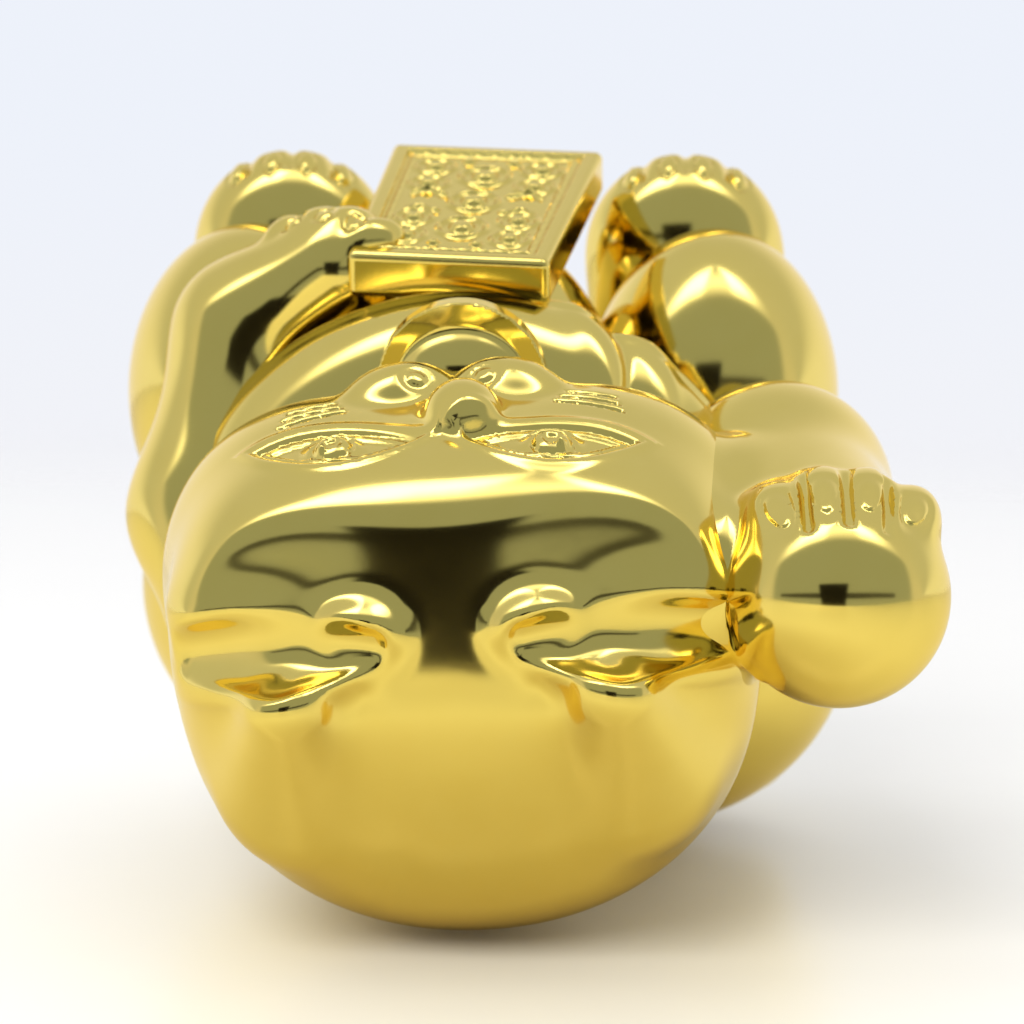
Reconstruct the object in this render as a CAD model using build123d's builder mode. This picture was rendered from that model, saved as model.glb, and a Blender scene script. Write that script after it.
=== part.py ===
from build123d import *

import os
from math import acos, cos, pi, radians, sin

# A seated beckoning cat money bank: slip-cast ceramic shells luted together, a rubber plug and pads.
# The cat sits upright on z = 0 and faces -Y. Its own right side, with the raised paw, is -X. Positions
# are measured from its middle plane; the finished pieces are shifted to centre the footprint.

# Driving dimensions, in millimetres.
WALL = 4.5  # slip-cast wall
LUTE = 0.05  # slip line left between two luted castings
TIP_ANGLE = 2.0  # a turned ellipse ends in a flat this wide, a few hundredths of a millimetre deep
OVERSIZE = 200.0  # half width of a block that cuts a form off flat
SEAM = (Vector(0, 1, 0), Vector(0, 0, 1))  # which side a turned surface's seam is on, by its axis
X, Y, Z = (1, 0, 0), (0, 1, 0), (0, 0, 1)
PAD_THICKNESS = 1.5
BASE_Z = PAD_THICKNESS  # underside of the castings
FOOTPRINT_CENTRE = Location((6.06, 3.36, 0))  # shifts the middle of the footprint to the origin
FLOOR_THICKNESS = 5.0

# Torso: an egg standing on a flat base.
TORSO_CENTRE, TORSO_HALF_DEPTH, TORSO_RADIUS = (0, 11, 42), 53, 68
BELLY_CENTRE, BELLY_HALF_DEPTH, BELLY_RADIUS = (0, -38, 42), 24, 20
NECK_HOLE_RADIUS = 12.0

# Head: positions of its parts are relative to its centre, and it is turned a little to the cat's left.
HEAD_CENTRE, HEAD_HALF_HEIGHT, HEAD_RADIUS, HEAD_TURN = (-2, -3, 126), 37, 49, 4
CHEEK_CENTRE, CHEEK_RADIUS = (26, -17, -11), 25.5
LIP_CENTRE, LIP_RADIUS = (8.5, -42, -17), 10.5
NOSE_CENTRE, NOSE_RADIUS = (0, -46.5, -9), 6.4
CHIN_CENTRE, CHIN_RADIUS = (0, -37, -25), 10.0
EAR_CENTRE, EAR_LEAN = (23, -12, 18), 12
EAR_ROOT_WIDTH, EAR_HEIGHT, EAR_THICKNESS = 42.0, 41.0, 14.0
EAR_TIP_FILLET, EAR_EDGE_FILLET = 8.0, 5.0
EAR_HOLLOW_CENTRE, EAR_HOLLOW_HALF_DEPTH, EAR_HOLLOW_RADIUS = (28, -20, 34), 7.0, 9.0

# Bib and bell.
BIB_CENTRE, BIB_HALF_HEIGHT, BIB_RADIUS, BIB_HEM_Z = (0, -5, 80), 26, 54.5, 77.0
BELL_CENTRE, BELL_RADIUS = (1, -52, 90), 11.0
BELL_BAND_RADIUS, BELL_BAND_HEIGHT = 14.5, 3.2
BELL_SLOT_WIDTH, BELL_SLOT_DEPTH = 2.4, 4.0

# Hind legs.
THIGH_CENTRE, THIGH_HALF_WIDTH, THIGH_RADIUS = (46, -26, 38), 25, 32
TOES_CENTRE, TOES_HALF_HEIGHT, TOES_RADIUS = (40, -50, 15), 16, 20
HEEL_CENTRE, HEEL_HALF_LENGTH, HEEL_RADIUS = (41, -36, 15), 24, 16.5

# Forelegs and tail: each is a chain of (centre, radius) points.
RAISED_ARM = [((-50, -12, 72), 19), ((-58, -24, 90), 17.5), ((-64, -27, 138), 16)]
RAISED_PAW_CENTRE, RAISED_PAW_RADIUS = (-65.5, -27, 145), 17.6
PLAQUE_ARM = [((40, -8, 82), 16), ((49, -16, 76), 15), ((42, -44, 60), 13.5), ((25, -57, 62), 12)]
TAIL = [((-30, 52, 16), 13), ((-52, 42, 40), 16), ((-55, 29, 62), 14)]

# Tablet held on the belly.
PLAQUE_CENTRE, PLAQUE_SIZE = (3, -64, 46), (43, 9, 62)
PLAQUE_LEAN, PLAQUE_TILT = 7, -6  # towards the cat's left, and back at the top
PLAQUE_FRAME, PLAQUE_RECESS, PLAQUE_FILLET = 4.0, 1.0, 1.2

# Coin slot in the back, and the plug in the base.
COIN_SLOT_Z, COIN_SLOT_LENGTH, COIN_SLOT_HEIGHT = 64.0, 34.0, 4.6
PLUG_HOLE_RADIUS, PLUG_CLEARANCE = 17.0, 0.06
PLUG_STEM_LENGTH = 8.5
PLUG_FLANGE_RADIUS, PLUG_FLANGE_THICKNESS = 20.5, 2.0
PLUG_RECESS_RADIUS, PLUG_RECESS_DEPTH = 21.5, 2.6
PLUG_BORE_RADIUS, PLUG_WEB = 11.0, 2.5
PLUG_TAB = (20.0, 4.0, 5.0)

PAD_RADIUS = 6.0
PAD_CENTRES = [(-41, -42), (41, -42), (-26, 33), (26, 33)]  # under the feet and under the hips


def spheroid(centre, axis, half_length, radius, grow=0.0, mode=Mode.ADD):
    """A half ellipse turned about an axis through centre, with its seam on the side given by SEAM."""
    axis = Vector(*axis).normalized()
    half_length, radius = half_length + grow, radius + grow
    seam = SEAM[abs(axis.Y) > 0.5]
    with BuildSketch(Plane(origin=centre, x_dir=axis, z_dir=axis.cross(seam))) as half:
        with BuildLine():
            EllipticalCenterArc(
                (0, 0), half_length, radius, start_angle=TIP_ANGLE, arc_size=180 - 2 * TIP_ANGLE
            )
            tip_x, tip_y = half_length * cos(radians(TIP_ANGLE)), radius * sin(radians(TIP_ANGLE))
            Polyline((-tip_x, tip_y), (-tip_x, 0), (tip_x, 0), (tip_x, tip_y))
        make_face()
    revolve(half.sketch, axis=Axis(centre, axis), mode=mode)


def round_cone(start, end, grow=0.0, mode=Mode.ADD):
    """Two (centre, radius) balls and the cone tangent to both, revolved in the active part."""
    (a, r_a), (b, r_b) = start, end
    r_a, r_b = r_a + grow, r_b + grow
    along = Vector(*b) - Vector(*a)
    lean = acos((r_a - r_b) / along.length)
    across = along.cross(Vector(0, 0, 1) if abs(along.Z) < along.length * 0.9 else Vector(1, 0, 0))
    tangent_a = (r_a * cos(lean), r_a * sin(lean))
    tangent_b = (along.length + r_b * cos(lean), r_b * sin(lean))
    middle_a, middle_b = (pi + lean) / 2, lean / 2
    with BuildSketch(Plane(origin=a, x_dir=along, z_dir=across)) as profile:
        with BuildLine():
            ThreePointArc((-r_a, 0), (r_a * cos(middle_a), r_a * sin(middle_a)), tangent_a)
            Line(tangent_a, tangent_b)
            over_b = (along.length + r_b * cos(middle_b), r_b * sin(middle_b))
            ThreePointArc(tangent_b, over_b, (along.length + r_b, 0))
            Line((along.length + r_b, 0), (-r_a, 0))
        make_face()
    revolve(profile.sketch, axis=Axis(a, along), mode=mode)


def chain(points, grow=0.0, mode=Mode.ADD):
    """A limb: round cones through the points in order."""
    for start, end in zip(points, points[1:]):
        round_cone(start, end, grow=grow, mode=mode)


def mirrored(centre, side):
    return (side * centre[0], centre[1], centre[2])


def on_head(offset):
    """A point given from the head's centre, turned with the head."""
    return tuple(Vector(*HEAD_CENTRE) + Vector(*offset).rotate(Axis.Z, HEAD_TURN))


def torso_form(grow=0.0, mode=Mode.ADD):
    spheroid(TORSO_CENTRE, Y, TORSO_HALF_DEPTH, TORSO_RADIUS, grow=grow, mode=mode)


def belly_form(grow=0.0, mode=Mode.ADD):
    spheroid(BELLY_CENTRE, Y, BELLY_HALF_DEPTH, BELLY_RADIUS, grow=grow, mode=mode)


def ball(centre, radius, grow=0.0, mode=Mode.ADD):
    with Locations(centre):
        Sphere(radius + grow, mode=mode)


def head_form(grow=0.0, mode=Mode.ADD):
    spheroid(HEAD_CENTRE, Z, HEAD_HALF_HEIGHT, HEAD_RADIUS, grow=grow, mode=mode)
    for side in (-1, 1):
        ball(on_head(mirrored(CHEEK_CENTRE, side)), CHEEK_RADIUS, grow=grow, mode=mode)
        ball(on_head(mirrored(LIP_CENTRE, side)), LIP_RADIUS, grow=grow, mode=mode)
    ball(on_head(CHIN_CENTRE), CHIN_RADIUS, grow=grow, mode=mode)


def thigh_form(side, grow=0.0, mode=Mode.ADD):
    spheroid(mirrored(THIGH_CENTRE, side), X, THIGH_HALF_WIDTH, THIGH_RADIUS, grow=grow, mode=mode)


PLAQUE_PLACE = Location(PLAQUE_CENTRE, (0, PLAQUE_LEAN, 0)) * Location((0, 0, 0), (PLAQUE_TILT, 0, 0))


def plaque_form(grow=0.0, mode=Mode.ADD):
    with Locations(PLAQUE_PLACE):
        Box(*(size + 2 * grow for size in PLAQUE_SIZE), mode=mode)


def cut_below(z):
    """Keeps what stands above the plane at height z."""
    under = (Align.CENTER, Align.CENTER, Align.MAX)
    with Locations((0, 0, z)):
        Box(2 * OVERSIZE, 2 * OVERSIZE, OVERSIZE, align=under, mode=Mode.SUBTRACT)


os.makedirs("parts", exist_ok=True)

# Torso: a hollow egg with a neck vent, a coin slot and a plug hole in its floor.
with BuildPart() as torso_core:
    torso_form(grow=-WALL)
    cut_below(BASE_Z + FLOOR_THICKNESS)

with BuildPart() as torso_shell:
    torso_form()
    belly_form()
    cut_below(BASE_Z)
    add(torso_core.part, mode=Mode.SUBTRACT)
    plaque_form(grow=LUTE, mode=Mode.SUBTRACT)
    with BuildSketch(Plane.XY.offset(TORSO_CENTRE[2])):
        with Locations(TORSO_CENTRE[:2]):
            Circle(NECK_HOLE_RADIUS)
    extrude(amount=TORSO_RADIUS + 1, mode=Mode.SUBTRACT)
    with BuildSketch(Plane.XZ.offset(-TORSO_CENTRE[1])):
        with Locations((0, COIN_SLOT_Z)):
            SlotOverall(COIN_SLOT_LENGTH, COIN_SLOT_HEIGHT)
    extrude(amount=-TORSO_HALF_DEPTH - 1, mode=Mode.SUBTRACT)
    with BuildSketch(Plane.XY.offset(BASE_Z)):
        with Locations(TORSO_CENTRE[:2]):
            Circle(PLUG_HOLE_RADIUS)
    extrude(amount=FLOOR_THICKNESS, mode=Mode.SUBTRACT)
    with BuildSketch(Plane.XY.offset(BASE_Z)):
        with Locations(TORSO_CENTRE[:2]):
            Circle(PLUG_RECESS_RADIUS)
    extrude(amount=PLUG_RECESS_DEPTH, mode=Mode.SUBTRACT)
torso_shell.part.label = "torso_shell"
torso_shell.part.location = FOOTPRINT_CENTRE
export_step(torso_shell.part, "parts/torso_shell.step")

# Ear: a thick triangle with a round tip and soft edges, standing on its root.
with BuildPart() as ear:
    with BuildSketch(Plane.XZ.offset(-EAR_THICKNESS / 2)):
        Polygon((-EAR_ROOT_WIDTH / 2, 0), (EAR_ROOT_WIDTH / 2, 0), (0, EAR_HEIGHT), align=None)
    extrude(amount=EAR_THICKNESS)
    fillet(ear.edges().filter_by(Axis.Y).sort_by(Axis.Z)[-1], EAR_TIP_FILLET)
    fillet(ear.faces().filter_by(Axis.Y).edges().filter_by(lambda e: e.center().Z > 1), EAR_EDGE_FILLET)

# Head: one hollow casting with cheeks, muzzle and cupped ears, seated over the torso's dome.
with BuildPart() as head_shell:
    head_form()
    ball(on_head(NOSE_CENTRE), NOSE_RADIUS)
    for side in (-1, 1):
        with Locations(Location(on_head(mirrored(EAR_CENTRE, side)), (0, side * EAR_LEAN, HEAD_TURN))):
            add(ear.part)
        cup = on_head(mirrored(EAR_HOLLOW_CENTRE, side))
        spheroid(cup, Y, EAR_HOLLOW_HALF_DEPTH, EAR_HOLLOW_RADIUS, mode=Mode.SUBTRACT)
    spheroid(HEAD_CENTRE, Z, HEAD_HALF_HEIGHT, HEAD_RADIUS, grow=-WALL, mode=Mode.SUBTRACT)
    torso_form(grow=LUTE, mode=Mode.SUBTRACT)
head_shell.part.label = "head_shell"
head_shell.part.location = FOOTPRINT_CENTRE
export_step(head_shell.part, "parts/head_shell.step")

# Bib: a cape round the neck, between the torso, the head and its own hem.
with BuildPart() as bib_outline:
    spheroid(BIB_CENTRE, Z, BIB_HALF_HEIGHT, BIB_RADIUS, grow=LUTE)
    cut_below(BIB_HEM_Z - LUTE)

with BuildPart() as bib:
    spheroid(BIB_CENTRE, Z, BIB_HALF_HEIGHT, BIB_RADIUS)
    cut_below(BIB_HEM_Z)
    torso_form(grow=LUTE, mode=Mode.SUBTRACT)
    head_form(grow=LUTE, mode=Mode.SUBTRACT)
bib.part.label = "bib"
bib.part.location = FOOTPRINT_CENTRE
export_step(bib.part, "parts/bib.step")

# Bell: a ball with a band round it and a slot under it.
with BuildPart() as bell:
    with Locations(BELL_CENTRE):
        Sphere(BELL_RADIUS)
        Cylinder(BELL_BAND_RADIUS, BELL_BAND_HEIGHT)
    with Locations((BELL_CENTRE[0], BELL_CENTRE[1], BELL_CENTRE[2] - BELL_RADIUS)):
        Box(2 * BELL_RADIUS, BELL_SLOT_WIDTH, 2 * BELL_SLOT_DEPTH, mode=Mode.SUBTRACT)
    add(bib_outline.part, mode=Mode.SUBTRACT)
    torso_form(grow=LUTE, mode=Mode.SUBTRACT)
    head_form(grow=LUTE, mode=Mode.SUBTRACT)
bell.part.label = "bell"
bell.part.location = FOOTPRINT_CENTRE
export_step(bell.part, "parts/bell.step")


def make_thigh(side, name):
    """A hollow dome luted on the torso's side, which makes the haunch and the knee."""
    with BuildPart() as thigh:
        thigh_form(side)
        cut_below(BASE_Z)
        torso_form(grow=LUTE, mode=Mode.SUBTRACT)
        thigh_form(side, grow=-WALL, mode=Mode.SUBTRACT)
    thigh.part.label = name
    thigh.part.location = FOOTPRINT_CENTRE
    export_step(thigh.part, f"parts/{name}.step")


def make_foot(side, name):
    """A hind foot, pressed against the thigh and the torso."""
    with BuildPart() as foot:
        spheroid(mirrored(TOES_CENTRE, side), Z, TOES_HALF_HEIGHT, TOES_RADIUS)
        spheroid(mirrored(HEEL_CENTRE, side), Y, HEEL_HALF_LENGTH, HEEL_RADIUS)
        cut_below(BASE_Z)
        thigh_form(side, grow=LUTE, mode=Mode.SUBTRACT)
        torso_form(grow=LUTE, mode=Mode.SUBTRACT)
        plaque_form(grow=LUTE, mode=Mode.SUBTRACT)
    foot.part.label = name
    foot.part.location = FOOTPRINT_CENTRE
    export_step(foot.part, f"parts/{name}.step")


make_thigh(-1, "right_thigh")
make_thigh(1, "left_thigh")
make_foot(-1, "right_foot")
make_foot(1, "left_foot")

# Tablet: a slab with a raised frame round a sunk panel.
with BuildPart() as plaque:
    Box(*PLAQUE_SIZE)
    fillet(plaque.edges().filter_by(Axis.Y), PLAQUE_FILLET)
    with BuildSketch(plaque.faces().sort_by(Axis.Y)[0]):
        Rectangle(PLAQUE_SIZE[0] - 2 * PLAQUE_FRAME, PLAQUE_SIZE[2] - 2 * PLAQUE_FRAME)
    extrude(amount=-PLAQUE_RECESS, mode=Mode.SUBTRACT)
plaque.part.location = PLAQUE_PLACE

with BuildPart() as tablet:
    add(plaque.part)
    add(bib_outline.part, mode=Mode.SUBTRACT)
    torso_form(grow=LUTE, mode=Mode.SUBTRACT)
    for side in (-1, 1):
        thigh_form(side, grow=LUTE, mode=Mode.SUBTRACT)
tablet.part.label = "plaque"
tablet.part.location = FOOTPRINT_CENTRE
export_step(tablet.part, "parts/plaque.step")

# Raised right foreleg, with the beckoning paw bent at the wrist.
with BuildPart() as raised_arm:
    chain(RAISED_ARM)
    ball(RAISED_PAW_CENTRE, RAISED_PAW_RADIUS)
    chain(RAISED_ARM[1:], grow=-WALL, mode=Mode.SUBTRACT)
    add(bib_outline.part, mode=Mode.SUBTRACT)
    torso_form(grow=LUTE, mode=Mode.SUBTRACT)
    head_form(grow=LUTE, mode=Mode.SUBTRACT)
    thigh_form(-1, grow=LUTE, mode=Mode.SUBTRACT)
raised_arm.part.label = "raised_arm"
raised_arm.part.location = FOOTPRINT_CENTRE
export_step(raised_arm.part, "parts/raised_arm.step")

# Left foreleg, resting its paw on the tablet's edge.
with BuildPart() as plaque_arm:
    chain(PLAQUE_ARM)
    add(bib_outline.part, mode=Mode.SUBTRACT)
    torso_form(grow=LUTE, mode=Mode.SUBTRACT)
    head_form(grow=LUTE, mode=Mode.SUBTRACT)
    belly_form(grow=LUTE, mode=Mode.SUBTRACT)
    thigh_form(1, grow=LUTE, mode=Mode.SUBTRACT)
    plaque_form(grow=LUTE, mode=Mode.SUBTRACT)
plaque_arm.part.label = "plaque_arm"
plaque_arm.part.location = FOOTPRINT_CENTRE
export_step(plaque_arm.part, "parts/plaque_arm.step")

with BuildPart() as tail:
    chain(TAIL)
    cut_below(BASE_Z)
    torso_form(grow=LUTE, mode=Mode.SUBTRACT)
tail.part.label = "tail"
tail.part.location = FOOTPRINT_CENTRE
export_step(tail.part, "parts/tail.step")

# Rubber plug: a flange in the base's recess, a hollow stem in its hole, and a pull tab across the stem.
with BuildPart() as base_plug:
    plug_top = BASE_Z + PLUG_RECESS_DEPTH
    with BuildSketch(Plane.XY.offset(plug_top - PLUG_FLANGE_THICKNESS)):
        with Locations(TORSO_CENTRE[:2]):
            Circle(PLUG_FLANGE_RADIUS)
    extrude(amount=PLUG_FLANGE_THICKNESS - PLUG_CLEARANCE)
    with BuildSketch(Plane.XY.offset(plug_top - PLUG_CLEARANCE)):
        with Locations(TORSO_CENTRE[:2]):
            Circle(PLUG_HOLE_RADIUS - PLUG_CLEARANCE)
    extrude(amount=PLUG_STEM_LENGTH)
    chamfer(base_plug.edges().group_by(Axis.Z)[-1], 1.0)
    with BuildSketch(Plane.XY.offset(plug_top - PLUG_FLANGE_THICKNESS)):
        with Locations(TORSO_CENTRE[:2]):
            Circle(PLUG_BORE_RADIUS)
    extrude(amount=PLUG_FLANGE_THICKNESS + PLUG_STEM_LENGTH - PLUG_WEB, mode=Mode.SUBTRACT)
    with Locations((*TORSO_CENTRE[:2], plug_top - PLUG_FLANGE_THICKNESS)):
        Box(
            2 * PLUG_BORE_RADIUS + 1,
            PLUG_TAB[1],
            PLUG_TAB[2],
            align=(Align.CENTER, Align.CENTER, Align.MIN),
        )
base_plug.part.label = "base_plug"
base_plug.part.location = FOOTPRINT_CENTRE
export_step(base_plug.part, "parts/base_plug.step")

with BuildPart() as base_pads:
    with Locations(*PAD_CENTRES):
        Cylinder(PAD_RADIUS, PAD_THICKNESS, align=(Align.CENTER, Align.CENTER, Align.MIN))
base_pads.part.label = "base_pads"
base_pads.part.location = FOOTPRINT_CENTRE
export_step(base_pads.part, "parts/base_pads.step")
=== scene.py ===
import math

import bpy
import numpy as np
from mathutils import Matrix, Vector


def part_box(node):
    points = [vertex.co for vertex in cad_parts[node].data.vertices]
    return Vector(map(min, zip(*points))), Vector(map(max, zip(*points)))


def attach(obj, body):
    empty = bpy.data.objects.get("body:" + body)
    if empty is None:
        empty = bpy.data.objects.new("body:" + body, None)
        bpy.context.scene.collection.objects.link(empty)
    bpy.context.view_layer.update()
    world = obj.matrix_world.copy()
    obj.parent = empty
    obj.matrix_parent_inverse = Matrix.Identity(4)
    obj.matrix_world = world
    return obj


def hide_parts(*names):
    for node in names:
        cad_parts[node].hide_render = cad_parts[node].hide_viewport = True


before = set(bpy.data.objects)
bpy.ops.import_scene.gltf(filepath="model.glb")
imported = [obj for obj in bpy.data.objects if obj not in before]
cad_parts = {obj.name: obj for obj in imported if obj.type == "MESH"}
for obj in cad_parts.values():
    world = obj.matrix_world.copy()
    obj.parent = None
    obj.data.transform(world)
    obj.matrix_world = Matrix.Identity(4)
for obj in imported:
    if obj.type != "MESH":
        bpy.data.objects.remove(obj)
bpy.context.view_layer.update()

# The looks of a gold plated ceramic beckoning cat. Every casting is sculpted as a distance field in
# millimetres, meshed, and drawn onto its field's zero surface, so that the mirror finish stays smooth.

bpy.context.scene.view_settings.view_transform = "Standard"
COARSEN = 1.0
MM = 0.001
CHUNK = 400000  # points per call of a field, to keep the arrays small


# ---- distance fields -------------------------------------------------------------------------------

def vec(*v):
    return np.array(v, float)


def length(p):
    return np.sqrt((p * p).sum(-1))


def turn(axis, degrees):
    c, s = math.cos(math.radians(degrees)), math.sin(math.radians(degrees))
    if axis == "x":
        return np.array([[1, 0, 0], [0, c, -s], [0, s, c]])
    if axis == "y":
        return np.array([[c, 0, s], [0, 1, 0], [-s, 0, c]])
    return np.array([[c, -s, 0], [s, c, 0], [0, 0, 1]])


def smin(a, b, k):
    """The union of two fields, blended over k millimetres."""
    h = np.maximum(k - np.abs(a - b), 0) / k
    return np.minimum(a, b) - h * h * h * k / 6


def smax(a, b, k):
    return -smin(-a, -b, k)


def ellipsoid(p, centre, radii, rotation=None):
    q = p - vec(*centre)
    if rotation is not None:
        q = q @ rotation
    r = vec(*radii)
    k0, k1 = length(q / r), length(q / (r * r))
    return k0 * (k0 - 1) / np.maximum(k1, 1e-6)


def boxy(p, radii, power, arch):
    """An ellipsoid with squarer sides: power for x against the rest, arch for y against z."""
    q = np.abs(p) / vec(*radii) + 1e-9
    x, y, z = q[..., 0], q[..., 1], q[..., 2]
    yz = (y ** arch + z ** arch) ** (1 / arch)
    k = (x ** power + yz ** power) ** (1 / power)
    gx = (x / k) ** (power - 1) / radii[0]
    gy, gz = (y / yz) ** (arch - 1) / radii[1], (z / yz) ** (arch - 1) / radii[2]
    return (k - 1) / np.hypot(gx, (yz / k) ** (power - 1) * np.hypot(gy, gz))


def round_cone(p, a, b, ra, rb):
    """Two balls, of radius ra at a and rb at b, and the cone that touches both."""
    a, b = vec(*a), vec(*b)
    ba = b - a
    l2 = ba @ ba
    rr = ra - rb
    a2 = l2 - rr * rr
    il2 = 1 / l2
    pa = p - a
    y = pa @ ba
    z = y - l2
    x = pa * l2 - y[..., None] * ba
    x2 = (x * x).sum(-1)
    y2, z2 = y * y * l2, z * z * l2
    k = math.copysign(1, rr) * rr * rr * x2
    side = (np.sqrt(np.maximum(x2 * a2 * il2, 0)) + y * rr) * il2 - ra
    d = np.where(np.sign(z) * a2 * z2 > k, np.sqrt(x2 + z2) * il2 - rb, side)
    return np.where(np.sign(y) * a2 * y2 < k, np.sqrt(x2 + y2) * il2 - ra, d)


def capsule(p, a, b, r):
    a, b = vec(*a), vec(*b)
    ba = b - a
    h = np.clip(((p - a) @ ba) / (ba @ ba), 0, 1)
    return length(p - a - h[..., None] * ba) - r


def block(q, half, r):
    """A box with edges of radius r."""
    e = np.abs(q) - (vec(*half) - r)
    return length(np.maximum(e, 0)) + np.minimum(e.max(-1), 0) - r


def mirror(p):
    """Fold space about the middle plane, so that what is drawn on one side appears on both."""
    q = p.copy()
    q[..., 0] = np.abs(q[..., 0])
    return q


def vesica(x, y, half_width, half_height):
    """A pointed oval in the plane, as a distance."""
    r = (half_width ** 2 + half_height ** 2) / (2 * half_height)
    offset = r - half_height
    return np.maximum(np.hypot(x, y + offset), np.hypot(x, y - offset)) - r


def groove(d, width, depth):
    """The depth of a rounded groove whose middle line is where d is 0."""
    return depth * np.exp(-((d / width) ** 2))


def segment(x, y, a, b):
    """Distance in the plane from a segment."""
    dx, dy = b[0] - a[0], b[1] - a[1]
    h = np.clip(((x - a[0]) * dx + (y - a[1]) * dy) / (dx * dx + dy * dy), 0, 1)
    return np.hypot(x - a[0] - h * dx, y - a[1] - h * dy)


def soft(t):
    """A smooth step from 0 to 1."""
    t = np.clip(t, 0, 1)
    return t * t * (3 - 2 * t)


# ---- the castings ----------------------------------------------------------------------------------

plug_low, plug_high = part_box("base_plug")
plug_x, plug_y = ((plug_low + plug_high) / 2 / MM)[:2]
# the castings are drawn about the cat's middle plane, and the plug is 11 mm behind that drawing's origin
PLUG_BACK = 11
PLACE = vec(plug_x, plug_y - PLUG_BACK, 0)
HEAD = vec(-2, -3, 126)
HEAD_TURN = turn("z", -4)
BASE = 1.5  # the castings end here, on the pads


def on_head(p):
    return (p - HEAD) @ HEAD_TURN.T


def skull(p):
    """The head without its features, with the point in the head's own axes, plain and mirrored."""
    q = on_head(p)
    m = mirror(q)
    brow = soft((8 - q[..., 1]) / 30)
    d = boxy(q, (51, 47, 37), 2.1 + 1.1 * brow, 2.0 + 0.8 * brow)
    # the crown falls away to the brow in one broad facet, which starts at a crest between the ears
    facet = q @ vec(0, -0.31, 0.951) - 37.9 + (q[..., 0] - 1) ** 2 / 240
    d = smax(d, facet, 2.5)
    d = smin(d, ellipsoid(m, (24, -16, -13), (28, 28, 22)), 18)
    return d, q, m


def ear_rim(m):
    """How far a point is outside the ear's outline, and how far behind the ear's middle surface."""
    x, z = m[..., 0], m[..., 2]
    inner_edge = (z - 33) * 0.832 - (x - 8.5) * 0.555
    outer_edge = (z - 22) * 0.621 + (x - 47) * 0.784
    outline = smax(smax(inner_edge, outer_edge, 14) + 1.2, x - 48.0, 6)
    return outline, m[..., 1] - (-11.36 + 0.144 * x - 0.178 * z)


def head(p):
    d, q, m = skull(p)
    # muzzle, chin, the bridge of the nose and the nose
    d = smin(d, ellipsoid(m, (9.0, -43.2, -15.5), (12.0, 9.4, 8.4), turn("y", -14)), 3.5)
    d = smin(d, ellipsoid(q, (0, -38, -25), (13, 10, 8)), 6)
    d = smin(d, ellipsoid(q, (-2, -41, -4), (8, 8, 12)), 8)
    d = smin(d, ellipsoid(q, (-2.6, -47.8, 0.5), (6.6, 6.2, 8.0)), 3)
    # the notch under the nose and the nostrils
    d = smax(d, -capsule(q, (0, -55, -16), (0, -52, -26), 0.8), 2.4)
    d = d + groove(length(m - vec(5.6, -52.0, -11.5)) - 2.6, 0.8, 0.5)
    # ears: a thick leaf each, merging into the back of the head, with a cup between it and the forehead
    outline, behind = ear_rim(m)
    depth = np.maximum(-outline, 0)
    back = behind - 1.6 - 1.25 * np.minimum(depth, 16)
    front = -behind - 1.6 + 0.28 * depth
    ear = smax(smax(back * 0.76, front, 1.2), outline, 2.4)
    d = smin(d, round_cone(m, (27, -10, 36.5), (28, 11, 18), 7.0, 15), 9)
    d = smin(d, ellipsoid(m, (29, -21, 15), (19, 8.5, 15)), 6)
    d = smin(d, ellipsoid(m, (14.5, -21, 29.5), (8, 6, 8)), 5)
    d = smin(d, ear, 5)
    cup = smin(round_cone(m, (13, -20.0, 37.2), (29, -22.0, 38.4), 3.6, 7.4),
               round_cone(m, (29, -22.0, 38.4), (47, -15.4, 24.5), 7.4, 4.4), 4)
    d = smax(d, -cup, 3.6)
    # eyes: a lid line round a pointed oval, a ball in it, an iris ring and a glint
    facing = soft((-q[..., 1] - 12) / 14)
    e = mirror(q - vec(0.6, 0, 0))
    x, z = e[..., 0] - 18.6, q[..., 2] - 8.8 + 0.06 * q[..., 0]
    ex, ez = x * math.cos(0.12) - z * math.sin(0.12), x * math.sin(0.12) + z * math.cos(0.12)
    ez = ez + 0.012 * ex * ex - 0.6
    eye = vesica(ex, ez, 13.4, 4.9)
    lids = groove(eye, 0.65, 0.9) + groove(eye - 2.4, 1.1, -0.45)
    socket = 1.3 * soft(-eye / 2.0)
    ball = 1.9 * soft((5.6 - np.hypot(ex * 0.9, ez)) / 4.6)
    iris = groove(np.hypot(ex, ez - 0.2) - 3.5, 0.45, 0.65)
    pupil = 0.8 * soft((2.0 - np.hypot(ex, ez - 0.2)) / 1.0)
    glint = -0.8 * soft((1.1 - np.hypot(ex - 1.5, ez - 1.7)) / 0.8)
    d = d + facing * (lids + socket - ball + iris + pupil + glint)
    # three whisker cuts on each cheek
    cuts = 0
    for i in range(3):
        a, b = (18.5 + i, -5.2 - 2.2 * i), (29.5 - 0.6 * i, -3.0 - 2.6 * i)
        cuts = cuts + groove(segment(m[..., 0], q[..., 2], a, b), 0.45, 0.75)
    return d + facing * cuts


def torso_form(p):
    d = ellipsoid(p, (0, 6, 50), (58, 48, 58))
    d = smin(d, ellipsoid(p, (0, 13, 43), (69, 50, 46)), 12)
    d = smin(d, ellipsoid(p, (-31, 18.5, 50), (43.5, 39, 45)), 10)
    d = smin(d, ellipsoid(p, (0, 11, 27), (62, 49, 40)), 8)  # a base that is flat out to the pads
    return smin(d, ellipsoid(p, (0, -34, 42), (24, 26, 24)), 14)


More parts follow.
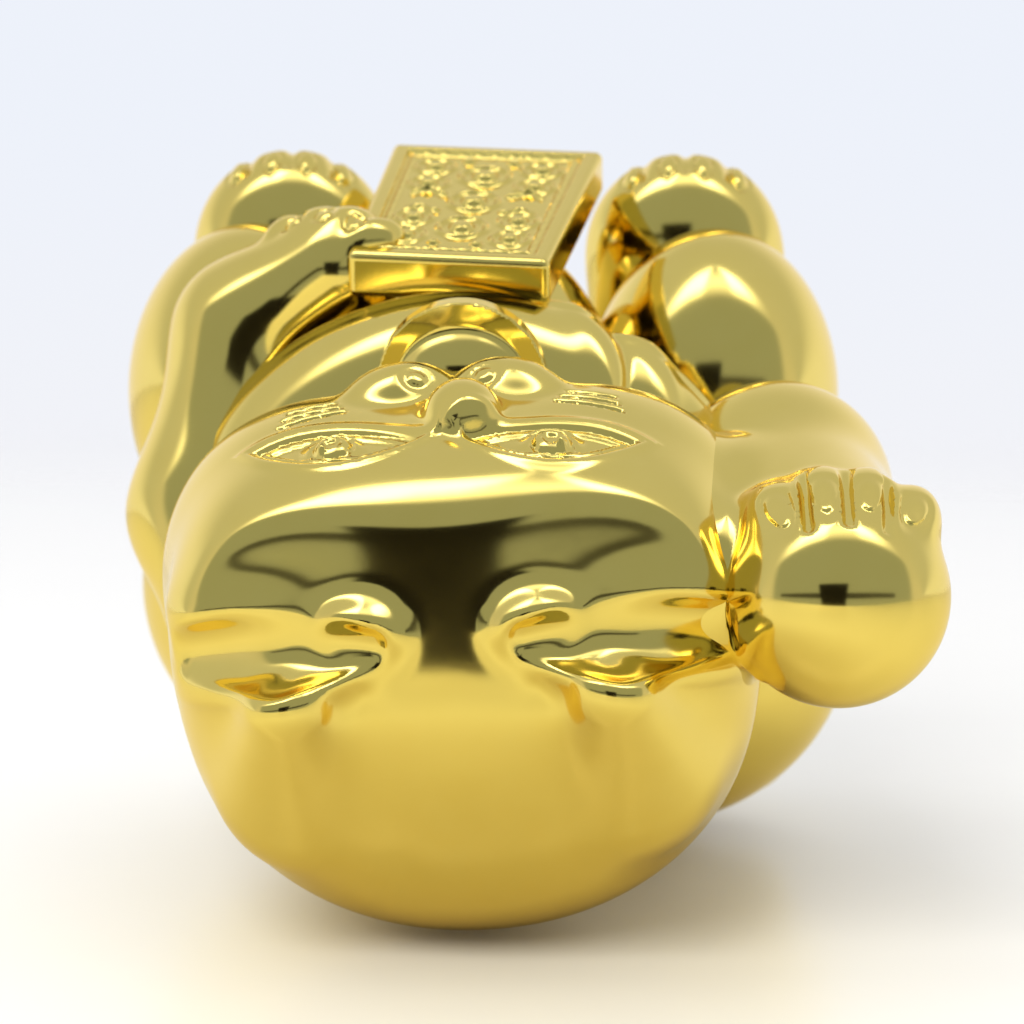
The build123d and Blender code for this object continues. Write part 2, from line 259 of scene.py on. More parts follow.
def torso(p):
    d = torso_form(p)
    x, y, z = p[..., 0], p[..., 1] - PLUG_BACK, p[..., 2]
    d = smax(d, -(z - BASE), 3)
    # the hollow for the coins
    inner = ellipsoid(p, (0, PLUG_BACK, 46), (56, 44, 50))
    inner = smax(inner, -(z - 7), 2)
    d = smax(d, -inner, 1)
    # the plug's hole, the recess for its flange, and a shallow ring round them
    from_plug = np.hypot(x, y)
    bore = np.maximum(from_plug - 17.0, z - 12)
    recess = np.maximum(from_plug - 21.5, z - (BASE + 2.6))
    d = smax(d, -bore, 0.6)
    d = smax(d, -recess, 0.6)
    d = d + groove(np.hypot(x, y * 1.25) - 40, 2.2, 0.6) * soft((6 - z) / 3)
    # the coin slot in the back, with a low lip
    slot_q = p - vec(0, 56, 64)
    slot = block(slot_q, (17, 16, 2.3), 2.2)
    outline = block(slot_q * vec(1, 0, 1), (19.5, 40, 4.8), 4.5)
    lip = groove(outline, 0.8, 0.35) * soft((p[..., 1] - 20) / 10)
    return smax(d, -slot, 1.2) + lip


def bib(p):
    x, y, z = p[..., 0], p[..., 1], p[..., 2]
    d = ellipsoid(p, (0, -5, 80), (56, 53.5, 26))
    angle = np.arctan2(x, -(y + 5))
    hem = 76.5 - 1.6 * soft((0.5 - np.abs(angle + 0.25)) / 0.5)
    # a rolled hem, and one fold running down on the raised arm's side
    d = d - 0.7 * soft((hem + 5.0 - z) / 3.5)
    fold = (angle + 0.66 + (z - 90) * 0.012) * 45
    d = d + groove(fold, 2.4, 1.5) + groove(fold - 6.5, 3.2, -0.8) + groove(fold + 6.5, 3.2, -0.8)
    return smax(d, hem - z, 2.2)


def bell(p):
    q = p - vec(0.5, -47.0, 91)
    d = ellipsoid(q, (0, 0, 0), (14.0, 12.0, 12.0))
    radial = length(q[..., :2])
    band = np.maximum(radial - 14.6, np.abs(q[..., 2] - 4.5) - 1.2) - 0.7
    d = smin(d, band, 1.2)
    d = d + groove(q[..., 2] - 0.6, 0.5, 0.4)
    d = smax(d, -capsule(q, (0, -7, -10.5), (0, 7, -10.5), 1.3), 0.8)
    return smax(d, -(length(q - vec(0, -7.5, -7.5)) - 2.1), 0.8)


def thigh(side):
    def field(p):
        q = p * vec(side, 1, 1)
        d = ellipsoid(q, (46, -26, 38), (25, 34, 30))
        d = smin(d, ellipsoid(q, (44, -18, 16), (22, 28, 17)), 12)
        return smax(d, -(p[..., 2] - BASE), 2.5)
    return field


def foot(side):
    def field(p):
        q = p * vec(side, 1, 1)
        d = smin(ellipsoid(q, (40, -50, 15), (20, 20, 16)), ellipsoid(q, (41, -36, 14), (20, 24, 15)), 8)
        # toes: three soft creases over the front, and a small claw loop on each toe
        x, z = q[..., 0] - 40, q[..., 2]
        front = soft((-q[..., 1] - 48) / 10)
        for i in (-1, 0, 1):
            d = d + front * groove(segment(x, z, (i * 7.8, 6), (i * 8.8, 20)), 1.2, 0.9)
        for i in (-1.5, -0.5, 0.5, 1.5):
            claw = vesica(z - 18.5 + abs(i), x - i * 7.2, 4.4, 2.0)
            d = d + front * (groove(claw, 0.45, 0.45) - 0.35 * soft(-claw / 1.2))
        return smax(d, -(p[..., 2] - BASE), 2)
    return field


def raised_arm(p):
    d = round_cone(p, (-50, -12, 72), (-57, -25, 92), 19.5, 19.5)
    d = smin(d, round_cone(p, (-57, -25, 92), (-63.5, -27, 134), 19, 16.5), 10)
    q = p - vec(-65.0, -26.0, 145)
    d = smin(d, ellipsoid(q, (0, 0, 0), (18.8, 18.8, 18.4)), 5)
    # the toes, bent forward at the wrist: a low scallop each, with short slits between and claw loops
    for i in (-1.5, -0.5, 0.5, 1.5):
        toe = vec(i * 7.6 - 0.8, -15.6 + 1.5 * i * i, -5.0)
        d = smin(d, ellipsoid(q, toe, (4.8, 5.2, 8.0), turn("z", i * 9)), 5)
        loop = np.hypot((q[..., 0] - toe[0]) * 0.8, q[..., 1] - toe[1] + 3.6) - 1.9
        d = d + soft((q[..., 2] + 4) / 3) * groove(loop, 0.5, 0.45)
    for i in (-1, 0, 1):
        a, b = vec(i * 7.0 - 0.8, -21.0 + 1.4 * i * i, -9), vec(i * 6.6 - 0.8, -16.6 + 1.2 * i * i, 8.6)
        d = smax(d, -capsule(q, a, b, 0.9), 1.6)
    # slip filling the join between the arm and the head
    web = smin(d, skull(p)[0] + 0.5, 15)
    d = smin(d, smax(web, length(p - vec(-48, -22, 122)) - 28, 10), 1)
    spur = round_cone(p, (-49, -20, 140), (-52.5, -15, 152), 6.0, 1.2)
    return smin(d, spur, 3)


def plaque_arm(p):
    d = round_cone(p, (41, -2, 90), (48.5, -14, 76), 16.5, 16)
    d = smin(d, round_cone(p, (48.5, -14, 76), (43, -44, 60), 16, 14.5), 10)
    d = smin(d, round_cone(p, (43, -45, 60), (26, -58, 62), 14, 12), 10)
    # four toes over the tablet's edge, and a claw loop on each of the first three
    toes = [(36.0, -64.0, 55.0), (30.0, -66.2, 58.0), (24.0, -67.2, 61.5), (18.5, -66.6, 66.0)]
    for i, (x, y, z) in enumerate(toes):
        toe = ellipsoid(p, (x, y + 1.5, z + 1), (3.9, 4.6, 6.2), turn("y", 30 + 10 * i))
        d = smin(d, toe, 3.2)
    for x, z in ((34.5, 60.5), (28.5, 63.5), (22.5, 66.5)):
        loop = np.hypot(p[..., 0] - x, (p[..., 2] - z) * 0.8) - 1.9
        d = d + soft((-p[..., 1] - 58) / 6) * groove(loop, 0.5, 0.55)
    return d


TABLET = vec(3, -64, 46)
TABLET_TURN = turn("y", 7) @ turn("x", -6)


def tablet(p):
    q = (p - TABLET) @ TABLET_TURN
    along = q[..., 2] / 31
    q[..., 0] = (q[..., 0] + 1.9 + 0.5 * along) / (1 - 0.06 * (1 + along))
    d = block(q, (21.5, 4.5, 31), 1.6)
    face = soft((-q[..., 1] - 2) / 1.5)
    x, z = q[..., 0], q[..., 2]
    panel = np.maximum(np.abs(x) - 18.2, np.abs(z) - 27.7)
    line = np.maximum(np.abs(x) - 16.4, np.abs(z) - 25.9)
    d = d + face * (0.75 * soft(-panel / 0.7) - groove(line, 0.45, 0.55))
    # a plain pattern of studs, rings and waves, the same on both sides
    mx = np.abs(x)
    relief = 0
    for cz in (-19, -9.5, 9.5, 19):
        relief = relief + 1.1 * soft((2.3 - np.hypot(mx - 11.0, z - cz)) / 1.2)
        relief = relief + groove(np.hypot(mx - 11.0, z - cz) - 3.9, 0.5, 0.6)
    for cz in (-14.2, 0, 14.2):
        relief = relief + 1.2 * soft((3.0 - np.hypot(x, z - cz)) / 1.5)
        relief = relief + groove(np.hypot(x, z - cz) - 5.0, 0.55, 0.75)
    for cz in (-4.6, 4.6):
        ends = 3 * soft((mx - 13.5) / 1.5) + 3 * soft((6.5 - mx) / 1.5)
        relief = relief + groove(np.abs(z - cz - np.cos(mx * 0.9)) + ends, 0.6, 0.8)
    for cz in (-22.5, 22.5):
        relief = relief + 0.9 * soft((1.6 - np.hypot(mx - 4.6, z - cz)) / 0.9)
    return d - face * relief


def tail(p):
    d = round_cone(p, (-30, 52, 16), (-52, 46, 40), 13, 12)
    d = smin(d, round_cone(p, (-52, 46, 40), (-56, 36, 62), 12, 9), 6)
    return smax(d, -(p[..., 2] - BASE), 2)


# ---- meshing ---------------------------------------------------------------------------------------

def sample(field, points):
    out = np.empty(len(points))
    for i in range(0, len(points), CHUNK):
        out[i:i + CHUNK] = field(points[i:i + CHUNK])
    return out


def gradient(field, points, step=0.05):
    g = np.empty_like(points)
    for axis in range(3):
        d = np.zeros(3)
        d[axis] = step
        g[:, axis] = (sample(field, points + d) - sample(field, points - d)) / (2 * step)
    return g


CORNERS = [(i, j, k) for i in (0, 1) for j in (0, 1) for k in (0, 1)]


def surface(field, low, high, cell):
    """Surface nets on a grid, with every vertex then drawn onto the field's zero surface."""
    cell *= COARSEN
    low, high = vec(*low), vec(*high)
    n = np.ceil((high - low) / cell).astype(int) + 1
    coarse = 4  # cells along the side of a block
    n = ((n + coarse - 1) // coarse) * coarse + 1
    nc = (n - 1) // coarse + 1
    axes_c = [low[a] + cell * coarse * np.arange(nc[a]) for a in range(3)]
    gc = np.stack(np.meshgrid(*axes_c, indexing="ij"), -1)
    dc = sample(field, gc.reshape(-1, 3)).reshape(nc)
    # a block is near the surface when any of its corners is
    near = np.abs(dc) < cell * coarse * 1.9 + 1.5
    block_near = np.zeros(nc - 1, bool)
    for i, j, k in CORNERS:
        block_near |= near[i:nc[0] - 1 + i, j:nc[1] - 1 + j, k:nc[2] - 1 + k]
    d = np.repeat(np.repeat(np.repeat(dc[:-1, :-1, :-1], coarse, 0), coarse, 1), coarse, 2)
    d = np.pad(d, ((0, 1), (0, 1), (0, 1)), mode="edge")
    fine = np.repeat(np.repeat(np.repeat(block_near, coarse, 0), coarse, 1), coarse, 2)
    fine = np.pad(fine, ((0, 1), (0, 1), (0, 1)))
    for axis in range(3):
        fine[tuple(slice(1, None) if a == axis else slice(None) for a in range(3))] |= \
            fine[tuple(slice(None, -1) if a == axis else slice(None) for a in range(3))]
    index = np.argwhere(fine)
    d[tuple(index.T)] = sample(field, low + cell * index)
    inside = d < 0

    cells = np.zeros(n - 1, np.int8)
    for i, j, k in CORNERS:
        cells += inside[i:n[0] - 1 + i, j:n[1] - 1 + j, k:n[2] - 1 + k]
    active = np.argwhere((cells > 0) & (cells < 8))
    ids = np.full(n - 1, -1)
    ids[tuple(active.T)] = np.arange(len(active))
    total = np.zeros((len(active), 3))
    count = np.zeros(len(active))
    for a in np.array(CORNERS):
        for axis in range(3):
            if a[axis]:
                continue
            b = a.copy()
            b[axis] = 1
            da, db = d[tuple((active + a).T)], d[tuple((active + b).T)]
            cross = (da < 0) != (db < 0)
            t = np.where(cross, da / np.where(cross, da - db, 1), 0)
            total += cross[:, None] * (a + t[:, None] * (b - a))
            count += cross
    verts = low + cell * (active + total / count[:, None])

    faces = []
    for axis in range(3):
        o1, o2 = (axis + 1) % 3, (axis + 2) % 3
        shape = [slice(1, -1)] * 3
        shape[axis] = slice(None, -1)
        nxt = list(shape)
        nxt[axis] = slice(1, None)
        a_in, b_in = inside[tuple(shape)], inside[tuple(nxt)]
        edges = np.argwhere(a_in != b_in)
        flip = a_in[tuple(edges.T)]
        edges[:, o1] += 1
        edges[:, o2] += 1
        e1, e2 = np.eye(3, dtype=int)[o1], np.eye(3, dtype=int)[o2]
        quad = np.stack([ids[tuple((edges - s).T)] for s in (e1 + e2, e2, 0, e1)], 1)
        quad[~flip] = quad[~flip][:, ::-1]
        faces.append(quad)
    faces = np.concatenate(faces)
    faces = faces[(faces >= 0).all(1)]

    for _ in range(3):
        g = gradient(field, verts)
        g2 = np.maximum((g * g).sum(1), 0.05)
        move = g * (sample(field, verts) / g2)[:, None]
        size = length(move)
        verts -= move * np.minimum(1, 0.6 * cell / np.maximum(size, 1e-9))[:, None]
    g = gradient(field, verts)
    normals = g / np.maximum(length(g), 1e-9)[:, None]
    return verts, faces, normals


def make_mesh(name, verts, faces, normals=None):
    mesh = bpy.data.meshes.new(name)
    mesh.vertices.add(len(verts))
    mesh.vertices.foreach_set("co", np.ascontiguousarray(verts * MM, np.float32).ravel())
    mesh.loops.add(faces.size)
    mesh.loops.foreach_set("vertex_index", np.ascontiguousarray(faces, np.int32).ravel())
    mesh.polygons.add(len(faces))
    mesh.polygons.foreach_set("loop_start", np.arange(0, faces.size, faces.shape[1], dtype=np.int32))
    mesh.update(calc_edges=True)
    mesh.validate()
    mesh.polygons.foreach_set("use_smooth", np.ones(len(mesh.polygons), bool))
    if normals is not None and len(mesh.vertices) == len(normals):
        mesh.normals_split_custom_set_from_vertices(normals)
    obj = bpy.data.objects.new(name, mesh)
    bpy.context.scene.collection.objects.link(obj)
    return obj


# ---- materials -------------------------------------------------------------------------------------

def node(tree, kind, **values):
    n = tree.nodes.new(kind)
    for key, value in values.items():
        if key in n.inputs.keys():
            n.inputs[key].default_value = value
        else:
            setattr(n, key, value)
    return n


def gold():
    """Electroplated gold: a near mirror with a faint orange peel, and grain where slip was left."""
    m = bpy.data.materials.new("gold_plate")
    m.use_nodes = True
    t = m.node_tree
    b = t.nodes["Principled BSDF"]
    where = node(t, "ShaderNodeNewGeometry")
    peel = node(t, "ShaderNodeTexNoise", Scale=140.0, Detail=2.0)
    wear = node(t, "ShaderNodeTexNoise", Scale=38.0, Detail=4.0)
    grain = node(t, "ShaderNodeTexNoise", Scale=900.0, Detail=3.0)
    for tex in (peel, wear, grain):
        t.links.new(where.outputs["Position"], tex.inputs["Vector"])
    rough = node(t, "ShaderNodeAttribute", attribute_name="luting")
    ramp = node(t, "ShaderNodeMapRange")
    ramp.inputs["From Min"].default_value, ramp.inputs["From Max"].default_value = 0.35, 0.75
    ramp.inputs["To Min"].default_value, ramp.inputs["To Max"].default_value = 0.09, 0.14
    t.links.new(wear.outputs["Fac"], ramp.inputs["Value"])
    add = node(t, "ShaderNodeMath", operation="MULTIPLY_ADD")
    add.inputs[1].default_value = 0.16
    t.links.new(rough.outputs["Fac"], add.inputs[0])
    t.links.new(ramp.outputs["Result"], add.inputs[2])
    t.links.new(add.outputs["Value"], b.inputs["Roughness"])
    # two close golds, and a deeper one where slip shows
    tint = node(t, "ShaderNodeMix", data_type="RGBA")
    tint.inputs["A"].default_value = (0.88, 0.70, 0.195, 1)
    tint.inputs["B"].default_value = (0.91, 0.735, 0.225, 1)
    t.links.new(peel.outputs["Fac"], tint.inputs["Factor"])
    deep = node(t, "ShaderNodeMix", data_type="RGBA")
    deep.inputs["B"].default_value = (0.93, 0.62, 0.07, 1)
    t.links.new(rough.outputs["Fac"], deep.inputs["Factor"])
    t.links.new(tint.outputs["Result"], deep.inputs["A"])
    t.links.new(deep.outputs["Result"], b.inputs["Base Color"])
    b.inputs["Metallic"].default_value = 1.0
    b.inputs["Specular Tint"].default_value = (1.0, 0.93, 0.82, 1)
    bump1 = node(t, "ShaderNodeBump", Strength=0.03, Distance=0.0004)
    t.links.new(peel.outputs["Fac"], bump1.inputs["Height"])
    bump2 = node(t, "ShaderNodeBump", Distance=0.0005)
    scale = node(t, "ShaderNodeMath", operation="MULTIPLY")
    scale.inputs[1].default_value = 0.9
    t.links.new(rough.outputs["Fac"], scale.inputs[0])
    t.links.new(scale.outputs["Value"], bump2.inputs["Strength"])
    t.links.new(grain.outputs["Fac"], bump2.inputs["Height"])
    t.links.new(bump1.outputs["Normal"], bump2.inputs["Normal"])
    t.links.new(bump2.outputs["Normal"], b.inputs["Normal"])
    return m


def rubber(name, dark, light, roughness):
    m = bpy.data.materials.new(name)
    m.use_nodes = True
    t = m.node_tree
    b = t.nodes["Principled BSDF"]
    where = node(t, "ShaderNodeNewGeometry")
    speck = node(t, "ShaderNodeTexNoise", Scale=420.0, Detail=5.0)
    t.links.new(where.outputs["Position"], speck.inputs["Vector"])
    mix = node(t, "ShaderNodeMix", data_type="RGBA")
    mix.inputs["A"].default_value = (*dark, 1)
    mix.inputs["B"].default_value = (*light, 1)
    t.links.new(speck.outputs["Fac"], mix.inputs["Factor"])
    t.links.new(mix.outputs["Result"], b.inputs["Base Color"])
    b.inputs["Roughness"].default_value = roughness
    bump = node(t, "ShaderNodeBump", Strength=0.25, Distance=0.0003)
    t.links.new(speck.outputs["Fac"], bump.inputs["Height"])
    t.links.new(bump.outputs["Normal"], b.inputs["Normal"])
    return m


GOLD = gold()
PLUG_RUBBER = rubber("plug_rubber", (0.52, 0.49, 0.42), (0.62, 0.59, 0.52), 0.55)
PAD_RUBBER = rubber("pad_rubber", (0.012, 0.012, 0.012), (0.03, 0.03, 0.03), 0.7)


# ---- the cat ---------------------------------------------------------------------------------------

def luting(verts):
    """How much rough slip shows at each point: the join between the raised arm and the head."""
    path = length((verts - vec(-47, -24, 120)) * vec(1, 0.8, 0.42)) - 11.0
    return np.clip(soft(-path / 5.0), 0, 1)


CASTINGS = [
    ("cat_head", head, (-60, -62, 84), (56, 50, 178), 0.62, ["head_shell"]),
    ("cat_body", torso, (-72, -66, -2), (72, 70, 112), 0.85, ["torso_shell"]),
    ("cat_bib", bib, (-60, -62, 70), (60, 52, 109), 0.8, ["bib"]),
    ("cat_bell", bell, (-18, -68, 76), (20, -28, 106), 0.42, ["bell"]),
    ("cat_right_haunch", thigh(-1), (-75, -64, -1), (-16, 14, 72), 0.8, ["right_thigh"]),
    ("cat_left_haunch", thigh(1), (16, -64, -1), (75, 14, 72), 0.8, ["left_thigh"]),
    ("cat_right_foot", foot(-1), (-64, -76, -1), (-15, -6, 35), 0.6, ["right_foot"]),
    ("cat_left_foot", foot(1), (15, -76, -1), (64, -6, 35), 0.6, ["left_foot"]),
    ("cat_raised_arm", raised_arm, (-88, -52, 48), (-28, 14, 168), 0.62, ["raised_arm"]),
    ("cat_plaque_arm", plaque_arm, (6, -76, 40), (72, 22, 112), 0.7, ["plaque_arm"]),
    ("cat_tablet", tablet, (-26, -76, 10), (32, -52, 82), 0.42, ["plaque"]),
    ("cat_tail", tail, (-70, 22, -1), (-14, 72, 76), 0.9, ["tail"]),
]

for name, field, low, high, cell, nodes in CASTINGS:
    verts, faces, normals = surface(field, low, high, cell)
    piece = make_mesh(name, verts + PLACE, faces, normals)
    rough = piece.data.attributes.new("luting", "FLOAT", "POINT")
    rough.data.foreach_set("value", luting(verts).astype(np.float32))
    piece.data.materials.append(GOLD)
    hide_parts(*nodes)
    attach(piece, "cat")
    print(name, len(faces) * 2, "triangles")


def lathe(name, profile, centre, steps=96):
    """A closed profile of (radius, height) points turned about an upright axis."""
    angles = np.linspace(0, 2 * math.pi, steps, endpoint=False)
    ring = np.array(profile, float)
    verts = np.concatenate([
        np.stack([centre[0] + r * np.cos(angles), centre[1] + r * np.sin(angles), np.full(steps, z)], 1)
        for r, z in ring
    ])
    faces = []
    for i in range(len(ring)):
        j = (i + 1) % len(ring)
        for s in range(steps):
            n = (s + 1) % steps
            faces.append((i * steps + s, i * steps + n, j * steps + n, j * steps + s))
    return make_mesh(name, verts, np.array(faces))


bottom, top = plug_low.z / MM, plug_high.z / MM


def plug(p):
    """The rubber plug as one moulding: flange, hollow stem with two grip rings, and a pull tab."""
    q = p - vec(plug_x, plug_y, bottom)
    r = length(q[..., :2])
    z = q[..., 2]
    height = top - bottom
    flange = np.maximum(r - 20.1, np.abs(z - 1.0) - 0.6) - 0.35
    stem = np.maximum(r - 16.2, np.abs(z - height / 2) - (height / 2 - 0.7)) - 0.6
    stem = stem - 0.12 * np.cos(z * 2.2) * soft((z - 3) / 1.5)
    d = smin(flange, stem, 0.8)
    well = np.maximum(r - 11.0, z - (height - 2.6))
    d = smax(d, -well, 0.8)
    tab = block(q - vec(0, 0, 3.0), (12.5, 1.8, 2.5), 0.9)
    return smin(d, tab, 1.0)


plug_verts, plug_faces, plug_normals = surface(
    plug, (plug_x - 22, plug_y - 22, bottom - 1), (plug_x + 22, plug_y + 22, top + 1), 0.4
)
plug_piece = make_mesh("plug", plug_verts, plug_faces, plug_normals)
plug_piece.data.materials.append(PLUG_RUBBER)
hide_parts("base_plug")
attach(plug_piece, "plug")

pads_low, pads_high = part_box("base_pads")
pad_thickness = (pads_high.z - pads_low.z) / MM
pad_corners = np.array([v.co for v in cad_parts["base_pads"].data.vertices]) / MM
quadrants = {}
for corner in pad_corners:
    quadrants.setdefault((corner[0] > 0, corner[1] > 0), []).append(corner)
for i, key in enumerate(sorted(quadrants)):
    points = np.array(quadrants[key])
    middle = (points.min(0) + points.max(0)) / 2
    radius = (points[:, 0].max() - points[:, 0].min()) / 2
    profile = [(0.05, 0.25), (radius - 1.6, 0.25), (radius - 1.3, 0.0), (radius - 0.35, 0.0),
               (radius, 0.35), (radius, pad_thickness - 0.2), (radius - 0.2, pad_thickness),
               (0.05, pad_thickness)]
    pad = lathe(f"pad_{i + 1}", profile[::-1], middle, 72)
    pad.data.materials.append(PAD_RUBBER)
    if i == 0:
        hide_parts("base_pads")
    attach(pad, "cat")

# ---- stage: the cat lies on its back, and is seen from above its head --------------------------------

PITCH, YAW = math.radians(20), math.radians(-2.5)
yaw_turn = Matrix.Rotation(YAW, 3, "Y")
toward = yaw_turn @ Vector((0, math.sin(PITCH), -math.cos(PITCH)))
up = yaw_turn @ Vector((0, -math.cos(PITCH), -math.sin(PITCH)))
right = toward.cross(up)
FOCAL, SENSOR = 108.5, 36.0
DISTANCE, AIM = 544.0, Vector((0, -3, 126)) + Vector(PLACE)
SHIFT_RIGHT, SHIFT_UP = 9.7, 28.2
eye = AIM - toward * DISTANCE + right * SHIFT_RIGHT + up * SHIFT_UP

camera_data = bpy.data.cameras.new("camera")
camera_data.lens, camera_data.sensor_width = FOCAL, SENSOR
camera_data.clip_start, camera_data.clip_end = 0.01, 20
camera = bpy.data.objects.new("camera", camera_data)
bpy.context.scene.collection.objects.link(camera)
basis = Matrix((right, up, -toward)).transposed().to_4x4()
camera.matrix_world = Matrix.Translation(eye * MM) @ basis
bpy.context.scene.camera = camera
focus = bpy.data.objects.new("focus", None)
bpy.context.scene.collection.objects.link(focus)
focus.location = (Vector((0, -22, 150)) + Vector(PLACE)) * MM
camera_data.dof.use_dof = True
camera_data.dof.focus_object = focus
camera_data.dof.aperture_fstop = 22

lie_up = Vector((0, -0.974, -0.2265)).normalized()  # away from the floor the cat lies on
lie_far = Vector((0, 0.2265, -0.974)).normalized()  # along that floor, away from the camera
FLOOR_DROP = 74.0  # from the cat's upright axis down to the table, in mm
floor_point = Vector(PLACE) - lie_up * FLOOR_DROP
corners = []
for far, side in ((-1500, -2500), (-1500, 2500), (2500, 2500), (2500, -2500)):
    corners.append(floor_point + lie_far * far + Vector((1, 0, 0)) * side)
floor = make_mesh("floor", np.array([list(c) for c in corners]), np.array([[0, 1, 2, 3]]))
if floor.data.polygons[0].normal.dot(lie_up) < 0:
    floor.data.flip_normals()


def floor_material():
    """A white table, seen from above only, that fades into the backdrop."""
    m = bpy.data.materials.new("table")
    m.use_nodes = True
    t = m.node_tree
    b = t.nodes["Principled BSDF"]
    out = t.nodes["Material Output"]
    where = node(t, "ShaderNodeNewGeometry")
    clear = node(t, "ShaderNodeBsdfTransparent")
    grain = node(t, "ShaderNodeTexNoise", Scale=60.0, Detail=3.0)
    t.links.new(where.outputs["Position"], grain.inputs["Vector"])
    mix = node(t, "ShaderNodeMix", data_type="RGBA")
    mix.inputs["A"].default_value = (0.86, 0.86, 0.855, 1)
    mix.inputs["B"].default_value = (0.88, 0.88, 0.875, 1)
    t.links.new(grain.outputs["Fac"], mix.inputs["Factor"])
    # the warm light that the plating throws on the table round it
    off = node(t, "ShaderNodeVectorMath", operation="DISTANCE")
    off.inputs[1].default_value = (floor_point + lie_far * -150.0) * MM
    t.links.new(where.outputs["Position"], off.inputs[0])
    glow = node(t, "ShaderNodeMapRange", interpolation_type="SMOOTHSTEP")
    glow.inputs["From Min"].default_value, glow.inputs["From Max"].default_value = 0.15, 0.02
    glow.inputs["To Max"].default_value = 0.30
    t.links.new(off.outputs["Value"], glow.inputs["Value"])
    warm = node(t, "ShaderNodeMix", data_type="RGBA")
    warm.inputs["B"].default_value = (0.93, 0.83, 0.52, 1)
    t.links.new(glow.outputs["Result"], warm.inputs["Factor"])
    t.links.new(mix.outputs["Result"], warm.inputs["A"])
    # mirrored in the plating, the table shows the shade and the gold glow between the two
    ray = node(t, "ShaderNodeLightPath")
    seen = node(t, "ShaderNodeMix", data_type="RGBA")
    under = node(t, "ShaderNodeMath", operation="MULTIPLY")
    under.inputs[1].default_value = 2.4
    t.links.new(glow.outputs["Result"], under.inputs[0])
    shade = node(t, "ShaderNodeMix", data_type="RGBA")
    shade.inputs["A"].default_value = (0.75, 0.70, 0.46, 1)
    shade.inputs["B"].default_value = (0.50, 0.42, 0.20, 1)
    t.links.new(under.outputs["Value"], shade.inputs["Factor"])
    t.links.new(shade.outputs["Result"], seen.inputs["B"])
    t.links.new(ray.outputs["Is Glossy Ray"], seen.inputs["Factor"])
    t.links.new(warm.outputs["Result"], seen.inputs["A"])
    t.links.new(seen.outputs["Result"], b.inputs["Base Color"])
    b.inputs["Roughness"].default_value = 0.30
    away = node(t, "ShaderNodeVectorMath", operation="DOT_PRODUCT")
    away.inputs[1].default_value = lie_far
    t.links.new(where.outputs["Position"], away.inputs[0])
    fade = node(t, "ShaderNodeMapRange", interpolation_type="SMOOTHSTEP")
    fade.inputs["From Min"].default_value, fade.inputs["From Max"].default_value = 0.02, 0.9
    t.links.new(away.outputs["Value"], fade.inputs["Value"])
    both = node(t, "ShaderNodeMath", operation="MAXIMUM")
    t.links.new(fade.outputs["Result"], both.inputs[0])
    t.links.new(where.outputs["Backfacing"], both.inputs[1])
    blend = node(t, "ShaderNodeMixShader")
    t.links.new(both.outputs["Value"], blend.inputs["Fac"])
    t.links.new(b.outputs["BSDF"], blend.inputs[1])
    t.links.new(clear.outputs["BSDF"], blend.inputs[2])
    t.links.new(blend.outputs["Shader"], out.inputs["Surface"])
    return m


floor.data.materials.append(floor_material())


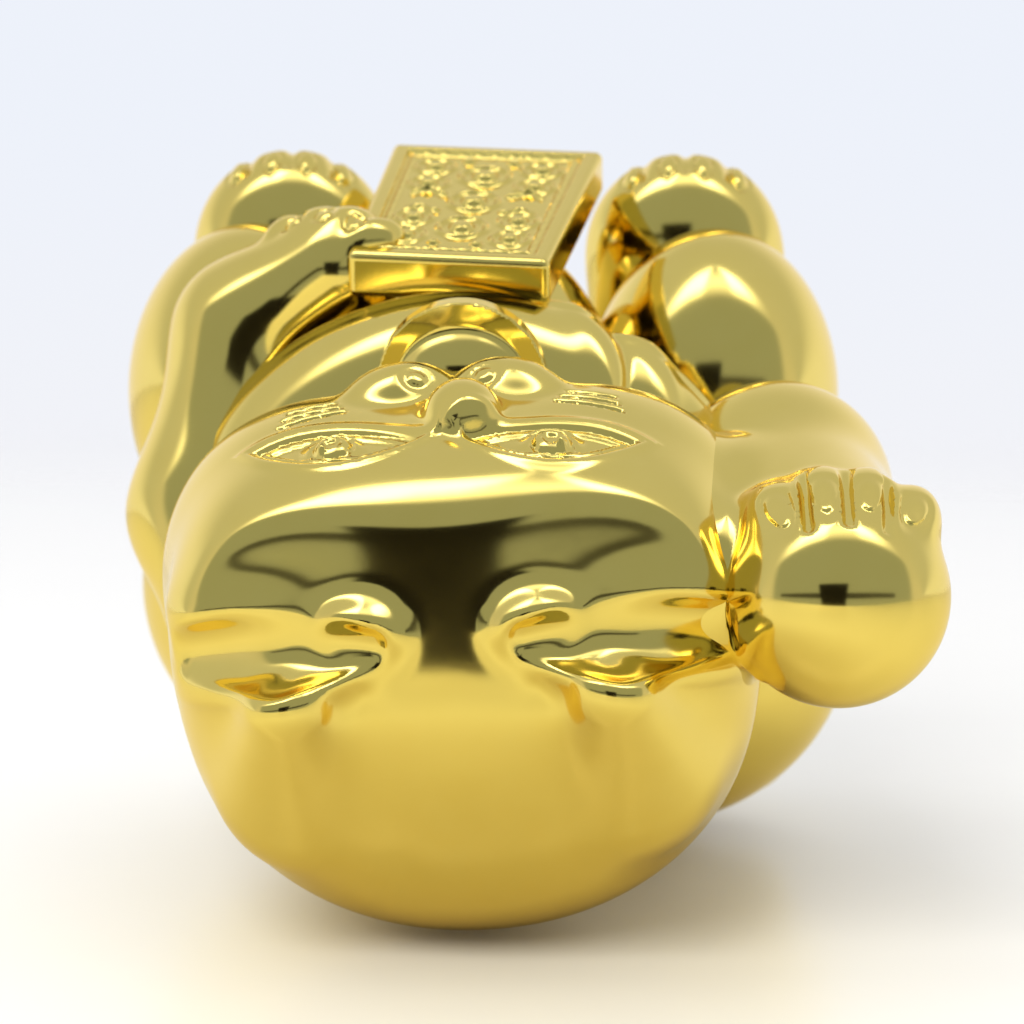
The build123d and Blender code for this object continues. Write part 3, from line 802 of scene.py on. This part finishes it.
def tent():
    """A pale light tent round the table, with a dark opening where the camera looks in."""
    world = bpy.data.worlds.new("tent")
    bpy.context.scene.world = world
    world.use_nodes = True
    t = world.node_tree
    background = t.nodes["Background"]
    direction = node(t, "ShaderNodeTexCoord")

    def along(v):
        n = node(t, "ShaderNodeVectorMath", operation="DOT_PRODUCT")
        n.inputs[1].default_value = v
        t.links.new(direction.outputs["Generated"], n.inputs[0])
        return n.outputs["Value"]

    def math_node(operation, a, b=None, c=None):
        n = node(t, "ShaderNodeMath", operation=operation)
        for socket, value in zip(n.inputs, (a, b, c)):
            if value is None:
                continue
            if isinstance(value, (int, float)):
                socket.default_value = value
            else:
                t.links.new(value, socket)
        return n.outputs["Value"]

    def step(value, start, end):
        n = node(t, "ShaderNodeMapRange", interpolation_type="SMOOTHSTEP")
        n.inputs["From Min"].default_value, n.inputs["From Max"].default_value = start, end
        t.links.new(value, n.inputs["Value"])
        return n.outputs["Result"]

    near, high, side = along(-toward), along(up), along(right)
    lift = math_node("ARCTAN2", high, near)
    sway = math_node("ARCTAN2", side, near)

    def window(low, top, start, end, soft_edge=0.04):
        bottom_edge, top_edge = step(lift, low, low + soft_edge), step(lift, top, top - soft_edge)
        start_edge, end_edge = step(sway, start, start + soft_edge), step(sway, end, end - soft_edge)
        v = math_node("MULTIPLY", bottom_edge, top_edge)
        h = math_node("MULTIPLY", start_edge, end_edge)
        return math_node("MULTIPLY", v, h)

    def mix(a, b, factor):
        n = node(t, "ShaderNodeMix", data_type="RGBA")
        for socket, value in ((n.inputs["A"], a), (n.inputs["B"], b)):
            if isinstance(value, tuple):
                socket.default_value = value
            else:
                t.links.new(value, socket)
        t.links.new(factor, n.inputs["Factor"])
        return n.outputs["Result"]

    base = mix((0.70, 0.68, 0.64, 1), (0.60, 0.61, 0.60, 1), step(lift, 0.2, 1.9))
    base = mix(base, (0.95, 0.95, 0.94, 1), step(lift, 2.1, 2.9))
    # lift and sway are angles from the camera's axis: the shade in front, the lamps over it, the table's
    # far edge, and the dark gap that the camera looks through
    front = window(-0.35, 1.12, -1.35, 1.35, 0.14)
    base = mix(base, (0.35, 0.385, 0.375, 1), front)
    strip = window(1.02, 1.52, -1.40, 1.30, 0.26)
    base = mix(base, (1.75, 1.75, 1.70, 1), strip)
    left_spot, right_spot = window(1.02, 1.62, -1.30, -0.35, 0.26), window(1.02, 1.62, 0.45, 1.15, 0.26)
    spots = math_node("MAXIMUM", left_spot, right_spot)
    base = mix(base, (4.6, 4.55, 4.4, 1), spots)
    horizon = window(-0.07, 0.08, -1.15, 0.95, 0.05)
    base = mix(base, (0.05, 0.05, 0.045, 1), horizon)
    half = math_node("MULTIPLY_ADD", step(lift, -0.2, 0.25), 0.05, 0.21)
    off = math_node("ABSOLUTE", math_node("ADD", sway, 0.17))
    across = step(math_node("SUBTRACT", half, off), -0.02, 0.03)
    opening = math_node("MULTIPLY", across, window(-0.36, 0.24, -1.0, 1.0, 0.05))
    base = mix(base, (0.012, 0.011, 0.010, 1), opening)
    ray = node(t, "ShaderNodeLightPath")
    seen = mix((0.90, 0.90, 0.93, 1), (0.85, 0.885, 0.96, 1), step(high, -0.05, 0.15))
    soft_light = mix(base, (0.93, 0.93, 0.94, 1), ray.outputs["Is Diffuse Ray"])
    final = mix(soft_light, seen, ray.outputs["Is Camera Ray"])
    t.links.new(final, background.inputs["Color"])
    background.inputs["Strength"].default_value = 1.0


tent()


def panel(name, place, size, power, color):
    """A soft box, which lights the table and the cat."""
    light = bpy.data.lights.new(name, "AREA")
    light.shape = "RECTANGLE"
    light.size, light.size_y = size
    light.energy = power
    light.color = color
    obj = bpy.data.objects.new(name, light)
    bpy.context.scene.collection.objects.link(obj)
    target = AIM * MM
    obj.location = place
    obj.rotation_euler = (target - Vector(place)).to_track_quat("-Z", "Y").to_euler()
    obj.visible_camera = False
    obj.visible_glossy = False
    return obj


key_place = AIM * MM + lie_up * 0.75 - right * 0.45 - toward * 1.1
panel("key", key_place, (0.8, 0.8), 15.5, (1.0, 0.985, 0.96))
